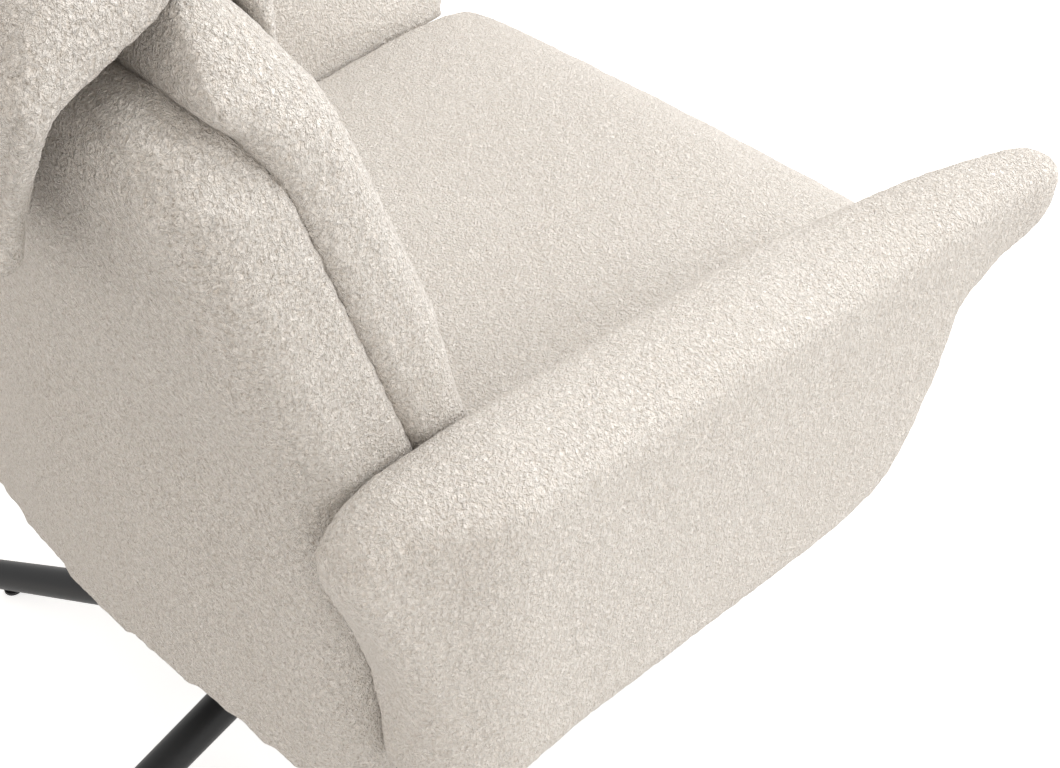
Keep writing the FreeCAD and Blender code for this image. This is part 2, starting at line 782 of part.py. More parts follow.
back_half = "(arm_gap / 2 - side_gap)"
stile_in = f"({back_half} - shell_wall - face_gap - stile_w)"
bracket_in = f"({stile_in} - 2 * hinge_t - 0.4)"
pins = []
for side, sign in SIDES:
    web = padded(
        f"bracket_web_{side}",
        "YZ_Plane",
        [
            ("frame_rear", "frame_z + 5"),
            ("pivot_y - 12", "pivot_z - 24"),
            ("pivot_y + 18", "pivot_z - 18"),
            ("pivot_y + 18", "pivot_z + 12"),
            ("pivot_y + 6", "pivot_z + 18"),
            ("pivot_y - 22", "pivot_z + 18"),
            ("frame_rear", "frame_z + rail_h - 4"),
        ],
        "hinge_t",
    )
    place(web, x=f"{sign} * ({bracket_in} + hinge_t / 2)")
    foot = box(
        f"bracket_foot_{side}",
        f"{sign} * ({bracket_in} - 12) - 12 - hinge_t * {(1 - sign) // 2}",
        "frame_rear",
        "frame_z + 5",
        "24 + hinge_t",
        "hinge_t",
        "rail_h - 9",
    )
    bore_x = f"{sign} * {bracket_in} - 30"
    bore = rod(f"bracket_bore_{side}", "pin_d", "60", bore_x, "pivot_y", "pivot_z", TURN_X)
    plates = fuse(f"bracket_plates_{side}", [web, foot])
    node(cut(f"bracket_{side}", plates, [bore]), f"recline_bracket_{side}")
    low_x = f"({bracket_in} - 3.6)"
    long_x = "(3.6 + 2 * hinge_t + 0.4 + face_gap + 3.5)"
    start_x = f"{sign} * {low_x} - {(1 - sign) // 2} * {long_x}"
    shaft = rod(f"pin_shaft_{side}", "pin_d", long_x, start_x, "pivot_y", "pivot_z", TURN_X)
    head_x = f"{sign} * {low_x} - {(1 - sign) // 2} * 3.6"
    head = rod(f"pin_head_{side}", "pin_d + 10", "3.6", head_x, "pivot_y", "pivot_z", TURN_X)
    clip_x = f"{sign} * ({stile_in} + face_gap) - {(1 - sign) // 2} * 3.5"
    clip = rod(f"pin_clip_{side}", "pin_d + 6", "3.5", clip_x, "pivot_y", "pivot_z", TURN_X)
    pins.append(fuse(f"pin_{side}", [shaft, head, clip]))
node(group("pins", pins), "recline_pins")


# Back: leaning frame with hinge plates and webbing, rear shell and cushion.

def level(share):
    """Height at a share of the rear shell's height."""
    return size.shell_low + share * (size.shell_top - size.shell_low)


def over(share):
    """Height at a share of the way from the rear shell's top to the cushion's top."""
    return size.shell_top + share * (size.pad_top - size.shell_top)


def stations(*pairs):
    """Depth stations measured from the recline pivot."""
    return [(height, size.pivot_y + behind) for height, behind in pairs]


SEAM = stations(
    (level(0), -50),
    (level(0.298), -37),
    (level(0.52), 2),
    (level(0.91), 72),
    (level(0.967), 88),
    (over(0), 108),
    (over(1), 96),
)
REAR = stations(
    (level(0), 76),
    (level(0.227), 78),
    (level(0.444), 82),
    (level(0.52), 87),
    (level(0.669), 108),
    (level(0.811), 129),
    (level(0.91), 141),
    (level(0.967), 141),
    (level(0.985), 135),
    (over(0), 122),
)
FRONT = stations(
    (size.pad_low, -95),
    (level(0.298), -92),
    (level(0.52), -46),
    (level(0.665), -28),
    (level(0.967), 34),
    (over(0), 44),
    (over(0.574), 61),
    (over(0.85), 73),
    (over(1), 86),
)
BULGE = [
    (level(0), 35),
    (level(0.444), 30),
    (level(0.669), 20),
    (level(0.811), 12),
    (level(0.91), 10),
    (over(0), 8),
]
CROWN = [
    (size.pad_low, 0),
    (level(0.298), 0.15),
    (level(0.52), 0.9),
    (level(0.665), 0.95),
    (level(0.967), 0.95),
    (over(0), 0.78),
    (over(0.574), 0.4),
    (over(1), 0.1),
]

pivot = Vector(0, size.pivot_y, size.pivot_z)
hollow_top = level(0.906)
hollow_middle = (blend(SEAM, hollow_top) + blend(REAR, hollow_top) - size.shell_wall) / 2
back_tilt = math.degrees(math.atan2(hollow_middle - size.pivot_y, hollow_top - size.pivot_z))
LEAN = Rotation(Vector(1, 0, 0), -back_tilt)


def lean(obj):
    """Sets a piece modelled upright above the recline pivot into the leaning back."""
    obj.Placement = Placement(pivot, LEAN)
    return obj


stiles = []
for side, sign in SIDES:
    stile_x = f"{sign} * {stile_in} - {(1 - sign) // 2} * stile_w"
    stiles.append(box(f"stile_{side}", stile_x, "-stile_d / 2", "stile_low", "stile_w", "stile_d",
                      "stile_top - stile_low"))
rails = []
for name, low, tall in (("low", "stile_low + 4", "40"), ("top", "stile_top - 34", "34")):
    rails.append(box(f"rail_{name}", f"-{stile_in}", "-stile_d / 2", low, f"2 * {stile_in}", "stile_d", tall))
node(lean(fuse("back_wood", stiles + rails)), "back_frame")

for side, sign in SIDES:
    plate = padded(
        f"hinge_plate_{side}",
        "YZ_Plane",
        [
            ("-13", "-9"),
            ("-6", "-15"),
            ("6", "-15"),
            ("13", "-9"),
            ("13", "stile_low + 3"),
            ("-13", "stile_low + 3"),
        ],
        "hinge_t",
    )
    place(plate, x=f"{sign} * ({stile_in} - hinge_t / 2)")
    cheek_x = f"{sign} * ({stile_in} + 6) - 10"
    cheek = box(f"hinge_cheek_{side}", cheek_x, "-13", "stile_low - hinge_t", "20", "26", "hinge_t")
    bore_x = f"{sign} * {stile_in} - 30"
    bore = rod(f"hinge_bore_{side}", "pin_d + 2 * run_gap", "60", bore_x, "0", "0", TURN_X)
    plates = fuse(f"hinge_plates_{side}", [plate, cheek])
    node(lean(cut(f"hinge_{side}", plates, [bore])), f"back_hinge_{side}")

straps = []
for count in range(4):
    straps.append(box(
        f"back_strap_{count}",
        f"-({stile_in} + stile_w - 6)",
        "-stile_d / 2 - strap_t",
        f"stile_low + 70 + {count} * (stile_top - stile_low - 140) / 3 - strap_w / 2",
        f"2 * ({stile_in} + stile_w - 6)",
        "strap_t",
        "strap_w",
    ))
node(lean(group("back_straps", straps)), "back_webbing")


def rounded_half(top, radius, z):
    """Half width of the back below a top whose two corners are rounded."""
    half = size.arm_gap / 2 - size.side_gap
    above = clamp((z - top + radius) / radius)
    return half - radius * (1 - math.sqrt(1 - 0.97 * above ** 2))


def shell_section(z, wall, open_front, rounding):
    """One level section of the rear shell, or of the hollow inside it."""
    half = rounded_half(size.shell_top, size.shell_round, z) - wall
    front = blend(SEAM, z) - open_front
    side_rear = blend(REAR, z) - wall
    depth = side_rear - front
    corner = min(rounding, 0.6 * depth)
    bulge = blend(BULGE, z)
    slope = 0.29 * corner
    turn = (half - slope, side_rear - slope)
    rear = (half - corner, side_rear + 0.18 * bulge)
    a, b, c, d = (-half, front, z), (half, front, z), (half, side_rear - corner, z), (*rear, z)
    e, f = (-rear[0], rear[1], z), (-half, side_rear - corner, z)
    return Part.Wire([
        line(a, b),
        line(b, c),
        arc(c, (*turn, z), d),
        arc(d, (0, side_rear + bulge, z), e),
        arc(e, (-turn[0], turn[1], z), f),
        line(f, a),
    ])


SHELL_SHARES = (0, 0.227, 0.298, 0.444, 0.52, 0.669, 0.811, 0.91, 0.967, 0.985, 1)
HOLLOW_SHARES = SHELL_SHARES[:8] + (0.942,)
shell_wires = [shell_section(level(t), 0, 0, size.shell_corner) for t in SHELL_SHARES]
shell_outer = form("shell_outer", loft(shell_wires))
hollow_front = size.shell_wall + 8
hollow_wires = [shell_section(level(t), size.shell_wall, hollow_front, 5) for t in HOLLOW_SHARES]
shell_hollow = form("shell_hollow", loft(hollow_wires))
node(cut("shell", shell_outer, [shell_hollow]), "back_shell")


def pad_section(z, inset):
    """One level section of the back cushion: flat rear, rounded sides and a crowned front."""
    half = rounded_half(size.pad_top, size.top_round, z) - inset
    rear = blend(SEAM, z) - size.face_gap - inset
    front = blend(FRONT, z)
    crown = size.pad_crown * blend(CROWN, z) + 0.5
    a, b = (-half + 5, rear, z), (half - 5, rear, z)
    c, d = (half - 9, front, z), (-half + 9, front, z)
    middle = (rear + front) / 2
    return Part.Wire([
        line(a, b),
        arc(b, (half, middle, z), c),
        arc(c, (0, front - crown, z), d),
        arc(d, (-half, middle, z), a),
    ])


PAD_LEVELS = [(size.pad_low, 0)]
PAD_LEVELS += [(level(share), 0) for share in (0.298, 0.52, 0.665, 0.91, 0.967, 1)]
PAD_LEVELS += [(over(0.574), 1), (over(0.85), 2), (over(1), 3)]
node(form("back_cushion", loft([pad_section(z, inset) for z, inset in PAD_LEVELS])), "back_cushion")


# Locking gas strut: the cylinder slides on a rod fixed to the seat, and an arm of the back drives its eye.

half_turn = math.radians(size.recline / 2)
strut_pin_y = size.pivot_y + size.strut_arm * math.sin(half_turn)
strut_pin_z = size.pivot_z - size.strut_arm * math.cos(half_turn)
strut_axis_z = size.pivot_z - size.strut_arm * (1 + math.cos(half_turn)) / 2
eye_play = size.strut_arm * (1 - math.cos(half_turn)) / 2 + 0.35
cylinder_front = size.anchor_y + size.strut_bare
cylinder_rear = strut_pin_y - 8


def strut_rod(name, diameter, start, end):
    solid = doc.addObject("Part::Cylinder", name)
    solid.Radius = diameter / 2
    solid.Height = end - start
    solid.Placement = Placement(Vector(0, start, strut_axis_z), TURN_Y)
    return solid


def cross_rod(name, diameter, half, y, z):
    solid = doc.addObject("Part::Cylinder", name)
    solid.Radius = diameter / 2
    solid.Height = 2 * half
    solid.Placement = Placement(Vector(-half, y, z), TURN_X)
    return solid


anchor_x = "slat_w / 2 - slat_x"
anchor_bar = box("anchor_bar", anchor_x, "anchor_y - 12", "frame_z + 1", "2 * slat_x - slat_w", "12", "30")
anchor_head = form("anchor_head", Part.makeBox(28, 28, 26, Vector(-14, size.anchor_y, strut_axis_z - 13)))
button_front = size.anchor_y - 12 - size.button_out
button = strut_rod("release_button", size.button_d, button_front, size.anchor_y)
anchor = fuse("anchor", [anchor_bar, anchor_head, button])
anchor_bore = strut_rod("anchor_bore", size.strut_rod_d, size.anchor_y + 8, size.anchor_y + 40)
node(cut("anchor_drilled", anchor, [anchor_bore]), "strut_anchor")

piston_front = cylinder_front + 84
rod_shaft = strut_rod("rod_shaft", size.strut_rod_d, size.anchor_y + 8, piston_front)
rod_piston = strut_rod("rod_piston", size.strut_d - 4.6, piston_front, piston_front + 12)
node(fuse("rod_whole", [rod_shaft, rod_piston]), "strut_rod")

barrel = strut_rod("barrel", size.strut_d, cylinder_front, cylinder_rear)
eye = cross_rod("eye", 22, 11.5, strut_pin_y, strut_axis_z)
barrel_hollow = strut_rod("barrel_hollow", size.strut_d - 4, cylinder_front + 16, cylinder_rear - 15)
mouth_d = size.strut_rod_d + 2 * size.run_gap
barrel_mouth = strut_rod("barrel_mouth", mouth_d, cylinder_front - 1, cylinder_front + 17)
eye_bore = cross_rod("eye_bore", size.strut_pin_d + 2 * eye_play, 20, strut_pin_y, strut_axis_z)
barrel_solid = fuse("barrel_solid", [barrel, eye])
node(cut("barrel_bored", barrel_solid, [barrel_hollow, barrel_mouth, eye_bore]), "strut_cylinder")

to_lean = LEAN.inverted()
pin_local = to_lean.multVec(Vector(0, strut_pin_y, strut_pin_z) - pivot)
cheeks = []
for side, sign in SIDES:
    cheek = doc.addObject("Part::Feature", f"arm_cheek_{side}")
    across = sign * 15.5 - 2.5
    corners = [
        (across, -12, size.stile_low + 4),
        (across, 14, size.stile_low + 4),
        (across, pin_local.y + 11, pin_local.z),
        (across, pin_local.y + 6, pin_local.z - 10),
        (across, pin_local.y - 6, pin_local.z - 10),
        (across, pin_local.y - 11, pin_local.z),
    ]
    face = Part.Face(Part.makePolygon([Vector(*corner) for corner in corners + corners[:1]]))
    cheek.Shape = face.extrude(Vector(5, 0, 0))
    cheeks.append(cheek)
web = box("arm_web", "-13", "-12", "stile_low - 1", "26", "26", "5")
arm_bore = cross_rod("arm_bore", size.strut_pin_d, 30, pin_local.y, pin_local.z)
node(lean(cut("strut_arm", fuse("strut_arm_plates", cheeks + [web]), [arm_bore])), "strut_arm")

strut_pin = cross_rod("strut_pin_shaft", size.strut_pin_d, 21, strut_pin_y, strut_pin_z)
strut_pin_heads = []
for side, sign in SIDES:
    head = cross_rod(f"strut_pin_head_{side}", size.strut_pin_d + 6, 1.5, strut_pin_y, strut_pin_z)
    head.Placement.Base.x = sign * 19.5 - 1.5
    strut_pin_heads.append(head)
node(fuse("strut_pin", [strut_pin] + strut_pin_heads), "strut_pin")


# Release lever: a shaft below the slats with a finger ahead of the strut's button and a grip by the right arm.

grip_in = "(arm_gap / 2 - 19)"
hangers = []
rail_x = f"({frame_half} - rail_t / 2)"
for name, x, top in (("slat", "slat_x", "frame_z"), ("rail", rail_x, "frame_z - cover_t")):
    tall = f"{top} - lever_z + 10"
    block = box(f"hanger_{name}", f"-{x} - 6", "lever_y - 11", "lever_z - 10", "12", "22", tall)
    hanger_d = "lever_d + 2 * run_gap"
    bore = rod(f"hanger_bore_{name}", hanger_d, "20", f"-{x} - 10", "lever_y", "lever_z", TURN_X)
    hangers.append(cut(f"hanger_bored_{name}", block, [bore]))
node(group("hangers", hangers), "lever_hangers")

shaft_x = f"-{grip_in} - 40"
lever_shaft = rod("lever_shaft", "lever_d", f"{grip_in} + 50", shaft_x, "lever_y", "lever_z", TURN_X)
lever_finger = box("lever_finger", "-6", "lever_y - 4", "lever_z", "12", "8", "42")
lever_collar = rod("lever_collar", "lever_d + 8", "6", "-slat_x + 6.4", "lever_y", "lever_z", TURN_X)
node(fuse("lever", [lever_shaft, lever_finger, lever_collar]), "release_lever")

grip = padded(
    "grip",
    "YZ_Plane",
    [
        ("lever_y - 62", "lever_z - 8"),
        ("lever_y + 6", "lever_z - 9"),
        ("lever_y + 10", "lever_z - 4"),
        ("lever_y + 10", "lever_z + 4"),
        ("lever_y + 6", "lever_z + 9"),
        ("lever_y - 6", "lever_z + 9"),
        ("lever_y - 62", "lever_z"),
    ],
    "56",
)
place(grip, x=f"-{grip_in} - 28")
grip_bore = rod("grip_bore", "lever_d", "40", f"-{grip_in} - 40", "lever_y", "lever_z", TURN_X)
node(cut("grip_bored", grip, [grip_bore]), "lever_grip")


# Headrest: a cushion draped over the top of the back, with a weighted flap behind.

rest_rear = blend(REAR, level(0.91)) + blend(BULGE, level(0.91)) + size.rest_clear
rest_ridge = blend(FRONT, size.pad_top)
flap_low = size.shell_top - size.flap_drop


def cushion_face(x, z):
    """Just ahead of the back cushion's crowned front."""
    half = size.arm_gap / 2 - size.side_gap - 9
    crown = (size.pad_crown * blend(CROWN, z) + 0.5) * (1 - (x / half) ** 2)
    return blend(FRONT, z) - crown - 0.9


def shoulder_drop(x):
    """How far the back cushion's rounded top corner lies below its top."""
    corner = size.arm_gap / 2 - size.side_gap - size.top_round
    beyond = clamp((abs(x) - corner) / size.top_round)
    return size.top_round * (1 - math.sqrt(1 - beyond ** 2))


def headrest_wire(x, inset):
    """Side outline of the headrest, drawn in evenly: pillow in front, bridge over the top, flap behind."""
    full = 1 - (x / size.rest_half) ** 2
    thick = size.rest_edge + (size.rest_pillow - size.rest_edge) * clamp(full) ** 1.7
    pillow_low = level(0.735) + 45 * (1 - clamp(full)) ** 3
    rise = 20 + 25 * full
    top = size.pad_top + 5 - shoulder_drop(x)
    eave = size.shell_top + 12
    heights = (pillow_low, level(0.967), size.shell_top)
    face = [cushion_face(x, z) for z in heights]
    lining = [(across - inset, up) for across, up in zip(face, heights)]
    throat = (cushion_face(x, top - 22) - 10 + 5 * full - 0.7 * inset, top - 22)
    arch = (rest_ridge + 10, top + inset)
    behind = rest_rear + inset
    flap_out = rest_rear + size.rest_flap - inset
    flap_middle = rest_rear + 0.5 * size.rest_flap
    crest = (rest_ridge + 4, top + rise - inset)
    brow = (face[1] - 1.03 * thick + inset, size.shell_top - 24)
    cheek = (cushion_face(x, pillow_low + 68) - 1.13 * thick + inset, pillow_low + 68)
    chin = (face[0] - 0.98 * thick + inset, pillow_low + 6)
    path = [
        (lining[0], lining[1]),
        (lining[1], lining[2]),
        (lining[2], throat, arch),
        (arch, (behind - 24, top - 21 + 0.8 * inset), (behind, eave)),
        ((behind, eave), (behind, flap_low + 14)),
        ((behind, flap_low + 14), (flap_middle, flap_low), (flap_out, flap_low + 14)),
        ((flap_out, flap_low + 14), (flap_out, eave)),
        ((flap_out, eave), (flap_out - 26, top + 0.53 * rise - 0.8 * inset), crest),
        (crest, (face[2] - 0.4 * thick + 0.6 * inset, top + 0.11 * rise - 0.6 * inset), brow),
        (brow, cheek, chin),
        (chin, (face[0] - 0.5 * thick, pillow_low - 0.33 * thick), lining[0]),
    ]
    edges = []
    for points in path:
        places = [(x, across, up) for across, up in points]
        edges.append(line(*places) if len(places) == 2 else arc(*places))
    return Part.Wire(edges)


def flap_trim(sign):
    """What lies outside the flap's slanted side and rounded corner."""
    y = rest_rear - 30
    radius = size.flap_corner
    side = size.rest_half - size.flap_taper
    centre = (side - radius, flap_low + radius)
    bend = radius * math.sqrt(0.5)
    eave = size.shell_top + 12
    far = size.rest_half + 40
    corners = [
        (centre[0], flap_low),
        (side, centre[1]),
        (size.rest_half, eave),
        (far, eave),
        (far, flap_low - 20),
        (centre[0], flap_low - 20),
    ]
    a, b, c, d, e, f = [(sign * x, y, z) for x, z in corners]
    turn = (sign * (centre[0] + bend), y, centre[1] - bend)
    face = Part.Face(Part.Wire([arc(a, turn, b), line(b, c), line(c, d), line(d, e), line(e, f), line(f, a)]))
    return face.extrude(Vector(0, size.rest_flap + 60, 0))


REST_ENDS = ((size.rest_half, 1), (size.rest_half - 2, 0.4), (size.rest_half - 6, 0))
REST_SHARES = (0.87, 0.68, 0.38)
rest_stations = [(-x, inset) for x, inset in REST_ENDS]
rest_stations += [(-share * size.rest_half, 0) for share in REST_SHARES]
rest_stations += [(0, 0)]
rest_stations += [(-x, inset) for x, inset in reversed(rest_stations[:-1])]
rest_whole = form("rest_whole", loft([headrest_wire(x, inset) for x, inset in rest_stations]))
trims = [form(f"flap_trim_{side}", flap_trim(sign)) for side, sign in SIDES]

weight_half = size.rest_half - size.flap_taper - size.flap_corner
weight_at = Vector(-weight_half, rest_rear + 7, flap_low + 12)
weight = form("weight", Part.makeBox(2 * weight_half, size.rest_flap - 14, 26, weight_at))
node(weight, "headrest_weight")
node(cut("headrest", rest_whole, trims + [weight]), "headrest_cushion")


# Every piece is sound and separate before it is written.

doc.recompute()
for obj in doc.Objects:
    if "Invalid" in obj.State or "Error" in obj.State:
        raise RuntimeError(f"{obj.Label} did not build: {obj.State}")
for obj in NODES:
    if obj.Shape.isNull() or not obj.Shape.isValid() or not obj.Shape.Solids:
        raise RuntimeError(f"{obj.Label} is not a sound solid")
    obj.Shape.exportStep(f"parts/{obj.Label}.step")
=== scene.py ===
import json

import bmesh
import bpy
import numpy as np
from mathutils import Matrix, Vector


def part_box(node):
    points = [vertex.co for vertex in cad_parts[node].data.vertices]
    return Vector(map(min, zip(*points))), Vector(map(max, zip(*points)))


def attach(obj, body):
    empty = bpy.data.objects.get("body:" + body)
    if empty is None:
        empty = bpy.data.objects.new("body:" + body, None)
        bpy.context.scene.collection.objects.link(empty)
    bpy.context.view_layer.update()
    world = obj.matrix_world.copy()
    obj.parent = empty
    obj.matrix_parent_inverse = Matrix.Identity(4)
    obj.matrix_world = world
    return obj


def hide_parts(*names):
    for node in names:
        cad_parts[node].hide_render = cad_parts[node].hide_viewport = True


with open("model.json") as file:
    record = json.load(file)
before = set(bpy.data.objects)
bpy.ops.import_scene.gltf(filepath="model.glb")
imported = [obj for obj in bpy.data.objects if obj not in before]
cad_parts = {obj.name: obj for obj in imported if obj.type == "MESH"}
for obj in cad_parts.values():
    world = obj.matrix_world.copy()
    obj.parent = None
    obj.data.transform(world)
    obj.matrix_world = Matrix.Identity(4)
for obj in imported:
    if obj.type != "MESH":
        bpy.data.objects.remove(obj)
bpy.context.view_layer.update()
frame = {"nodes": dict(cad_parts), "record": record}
scene = bpy.context.scene
nodes = frame["nodes"]


# Mesh helpers

SMOOTHING = 0.5
SIM_FRAMES = 20
CLOTH_STIFFNESS = 25
TUFTS = (("clumps", 0.011, 0.0012), ("curls", 0.0062, 0.00096))


def read_points(obj, field):
    found = np.empty(len(obj.data.vertices) * 3, np.float32)
    obj.data.vertices.foreach_get(field, found)
    return found.reshape(-1, 3).astype(float)


def points(obj):
    return read_points(obj, "co")


def normals(obj):
    return read_points(obj, "normal")


def set_points(obj, places):
    obj.data.vertices.foreach_set("co", np.asarray(places, np.float32).ravel())
    obj.data.update()


def settle(obj):
    """Puts the result of the object's modifiers into its mesh."""
    shaped = obj.evaluated_get(bpy.context.evaluated_depsgraph_get())
    mesh = bpy.data.meshes.new_from_object(shaped)
    obj.modifiers.clear()
    old = obj.data
    obj.data = mesh
    bpy.data.meshes.remove(old)


def copied(node, name):
    """A new object with a copy of a CAD node's mesh."""
    obj = bpy.data.objects.new(name, nodes[node].data.copy())
    obj.data.materials.clear()
    scene.collection.objects.link(obj)
    return obj


def joined(obj, places, faces):
    """Adds a closed form to a piece, to be fused with it by the next remesh."""
    form = bmesh.new()
    form.from_mesh(obj.data)
    corners = [form.verts.new(place) for place in places]
    for face in faces:
        form.faces.new([corners[i] for i in face])
    form.to_mesh(obj.data)
    form.free()


def soften(obj, rounds, group=""):
    """Smooths a piece, or only one group of its points."""
    smooth = obj.modifiers.new("smooth", "SMOOTH")
    smooth.factor = SMOOTHING
    smooth.iterations = rounds
    smooth.vertex_group = group
    settle(obj)


def remesh(obj, voxel, rounds):
    """Even small faces with softened edges."""
    grid = obj.modifiers.new("grid", "REMESH")
    grid.mode = "VOXEL"
    grid.voxel_size = voxel
    soften(obj, rounds)


def grouped(obj, name, share):
    """Puts each point with a share above zero into a new group."""
    group = obj.vertex_groups.new(name=name)
    for index in np.flatnonzero(share > 0.01):
        group.add([int(index)], float(min(1, share[index])), "REPLACE")


def soften_near(obj, share, rounds):
    """Softens only the points with a share above zero."""
    grouped(obj, "near", share)
    soften(obj, rounds, "near")
    obj.vertex_groups.clear()


def subdivide(obj):
    fine = obj.modifiers.new("fine", "SUBSURF")
    fine.levels = 1
    fine.render_levels = 1
    settle(obj)


def inflate(obj, pinned, pressure, cap):
    """Fills the fabric with pressure; pinned says how firmly each point is held, and cap is the longest move."""
    start = points(obj)
    grouped(obj, "held", pinned)
    cloth = obj.modifiers.new("cloth", "CLOTH")
    cloth.settings.vertex_group_mass = "held"
    cloth.settings.use_pressure = True
    cloth.settings.uniform_pressure_force = pressure
    cloth.settings.tension_stiffness = CLOTH_STIFFNESS
    cloth.settings.compression_stiffness = CLOTH_STIFFNESS
    cloth.settings.effector_weights.gravity = 0
    cloth.point_cache.frame_start = 1
    cloth.point_cache.frame_end = SIM_FRAMES
    for count in range(1, SIM_FRAMES + 1):
        scene.frame_set(count)
    settle(obj)
    scene.frame_set(1)
    move = points(obj) - start
    far = np.linalg.norm(move, axis=1, keepdims=True)
    set_points(obj, start + move * np.minimum(1, cap / np.maximum(far, 1e-9)))
    obj.vertex_groups.clear()


def ease(low, high, value):
    """Smooth step from 0 at low to 1 at high."""
    share = np.clip((value - low) / (high - low), 0, 1)
    return share * share * (3 - 2 * share)


def tufts(obj):
    """Small uneven clumps of pile, as real relief."""
    for name, scale, depth in TUFTS:
        pattern = bpy.data.textures.new(f"{obj.name}_{name}", "CLOUDS")
        pattern.noise_scale = scale
        pattern.noise_depth = 1
        relief = obj.modifiers.new(name, "DISPLACE")
        relief.texture = pattern
        relief.texture_coords = "LOCAL"
        relief.strength = depth
        relief.mid_level = 0.5
    settle(obj)


# Materials

def link(tree, source, target):
    tree.links.new(source, target)


def new_material(name):
    material = bpy.data.materials.new(name)
    material.use_nodes = True
    tree = material.node_tree
    return material, tree, tree.nodes["Principled BSDF"]


def add(tree, kind, **values):
    """A new node; each value goes to the socket of that name, or else to the node's own property."""
    made = tree.nodes.new(kind)
    for key, value in values.items():
        if key in made.inputs:
            made.inputs[key].default_value = value
        else:
            setattr(made, key, value)
    return made


def object_space(tree, scale=(1, 1, 1)):
    place = add(tree, "ShaderNodeTexCoord")
    mapping = add(tree, "ShaderNodeMapping", Scale=scale)
    link(tree, place.outputs["Object"], mapping.inputs["Vector"])
    return mapping.outputs["Vector"]


def noise_node(tree, vector, scale, detail=2, roughness=0.5):
    made = add(tree, "ShaderNodeTexNoise", Scale=scale, Detail=detail, Roughness=roughness)
    link(tree, vector, made.inputs["Vector"])
    return made.outputs["Fac"]


def math_node(tree, operation, *values):
    made = add(tree, "ShaderNodeMath", operation=operation)
    for socket, value in zip(made.inputs, values):
        if isinstance(value, (int, float)):
            socket.default_value = value
        else:
            link(tree, value, socket)
    return made.outputs[0]


def ramp(tree, factor, stops):
    made = add(tree, "ShaderNodeValToRGB")
    bar = made.color_ramp.elements
    while len(bar) < len(stops):
        bar.new(0.5)
    for element, (place, colour) in zip(bar, stops):
        element.position = place
        element.color = (*colour, 1)
    link(tree, factor, made.inputs["Fac"])
    return made.outputs["Color"]


def bump(tree, shader, height, strength, distance):
    made = add(tree, "ShaderNodeBump", Strength=strength, Distance=distance)
    link(tree, height, made.inputs["Height"])
    link(tree, made.outputs["Normal"], shader.inputs["Normal"])


def seen_directly(tree):
    """1 for camera, glossy and transmission rays, 0 for the light that falls on the part."""
    path = add(tree, "ShaderNodeLightPath")
    seen = math_node(tree, "MAXIMUM", path.outputs["Is Camera Ray"], path.outputs["Is Glossy Ray"])
    return math_node(tree, "MAXIMUM", seen, path.outputs["Is Transmission Ray"])


def teddy(name, relief, pit_shade):
    """Cream pile fabric: short even curls with shallow pits, and broad patches of brushed nap. The pits' colour
    is painted shade in the hollows between the curls; the lighter stops are the fabric's own uneven tone.
    """
    material, tree, shader = new_material(name)
    space = object_space(tree, (1.0, 1.0, 0.8))
    warp = add(tree, "ShaderNodeTexNoise", Scale=210, Detail=1)
    link(tree, space, warp.inputs["Vector"])
    drift = add(tree, "ShaderNodeVectorMath", operation="MULTIPLY_ADD")
    drift.inputs[1].default_value = (0.003, 0.003, 0.003)
    link(tree, warp.outputs["Color"], drift.inputs[0])
    link(tree, space, drift.inputs[2])
    curl = noise_node(tree, drift.outputs[0], 460, 2, 0.6)
    fibre = noise_node(tree, drift.outputs[0], 1300, 1, 0.5)
    height = math_node(tree, "MULTIPLY_ADD", fibre, 0.35, curl)
    patch = noise_node(tree, space, 9, 2)
    tone = math_node(tree, "MULTIPLY_ADD", patch, 0.1, height)
    # The colour follows the relief: the lowest places take the pit colour, painted shade in the pile's hollows.
    colour = ramp(tree, tone, (
        (0.46, pit_shade),
        (0.62, (0.83, 0.772, 0.706)),
        (0.76, (0.89, 0.843, 0.787)),
        (0.98, (0.92, 0.882, 0.836)),
    ))
    link(tree, colour, shader.inputs["Base Color"])
    shader.inputs["Roughness"].default_value = 0.95
    shader.inputs["Specular IOR Level"].default_value = 0.1
    shader.inputs["Sheen Weight"].default_value = 0.12
    shader.inputs["Sheen Roughness"].default_value = 0.6
    bump(tree, shader, height, 1.0, relief)
    return material


def coated(name, dark, light, roughness, grain, depth, metallic=0.0):
    """Hard surface with a fine grain in its gloss and relief, and broad patches in its colour."""
    material, tree, shader = new_material(name)
    space = object_space(tree)
    fine = noise_node(tree, space, grain, 3, 0.6)
    broad = noise_node(tree, space, 14, 2)
    link(tree, ramp(tree, broad, ((0.3, dark), (0.75, light))), shader.inputs["Base Color"])
    shine = math_node(tree, "MULTIPLY_ADD", fine, 0.16, roughness - 0.08)
    link(tree, shine, shader.inputs["Roughness"])
    shader.inputs["Metallic"].default_value = metallic
    bump(tree, shader, fine, 0.25, depth)
    return material


def wooden(name):
    """Plywood with its grain along x."""
    material, tree, shader = new_material(name)
    space = object_space(tree, (1, 9, 9))
    grain = noise_node(tree, space, 9, 5, 0.65)
    colour = ramp(tree, grain, ((0.3, (0.42, 0.29, 0.17)), (0.7, (0.66, 0.50, 0.33))))
    link(tree, colour, shader.inputs["Base Color"])
    shader.inputs["Roughness"].default_value = 0.7
    bump(tree, shader, grain, 0.2, 0.0006)
    return material


def woven(name, dark, light, pitch):
    """Cloth with crossing threads."""
    material, tree, shader = new_material(name)
    space = object_space(tree)
    bands = []
    for direction in ("X", "Y", "Z"):
        wave = add(tree, "ShaderNodeTexWave", bands_direction=direction, Scale=1 / pitch, Distortion=0.4)
        link(tree, space, wave.inputs["Vector"])
        bands.append(wave.outputs["Fac"])
    weave = math_node(tree, "MULTIPLY", math_node(tree, "MAXIMUM", bands[0], bands[1]), bands[2])
    link(tree, ramp(tree, weave, ((0.1, dark), (0.9, light))), shader.inputs["Base Color"])
    shader.inputs["Roughness"].default_value = 0.9
    bump(tree, shader, weave, 0.4, 0.0008)
    return material
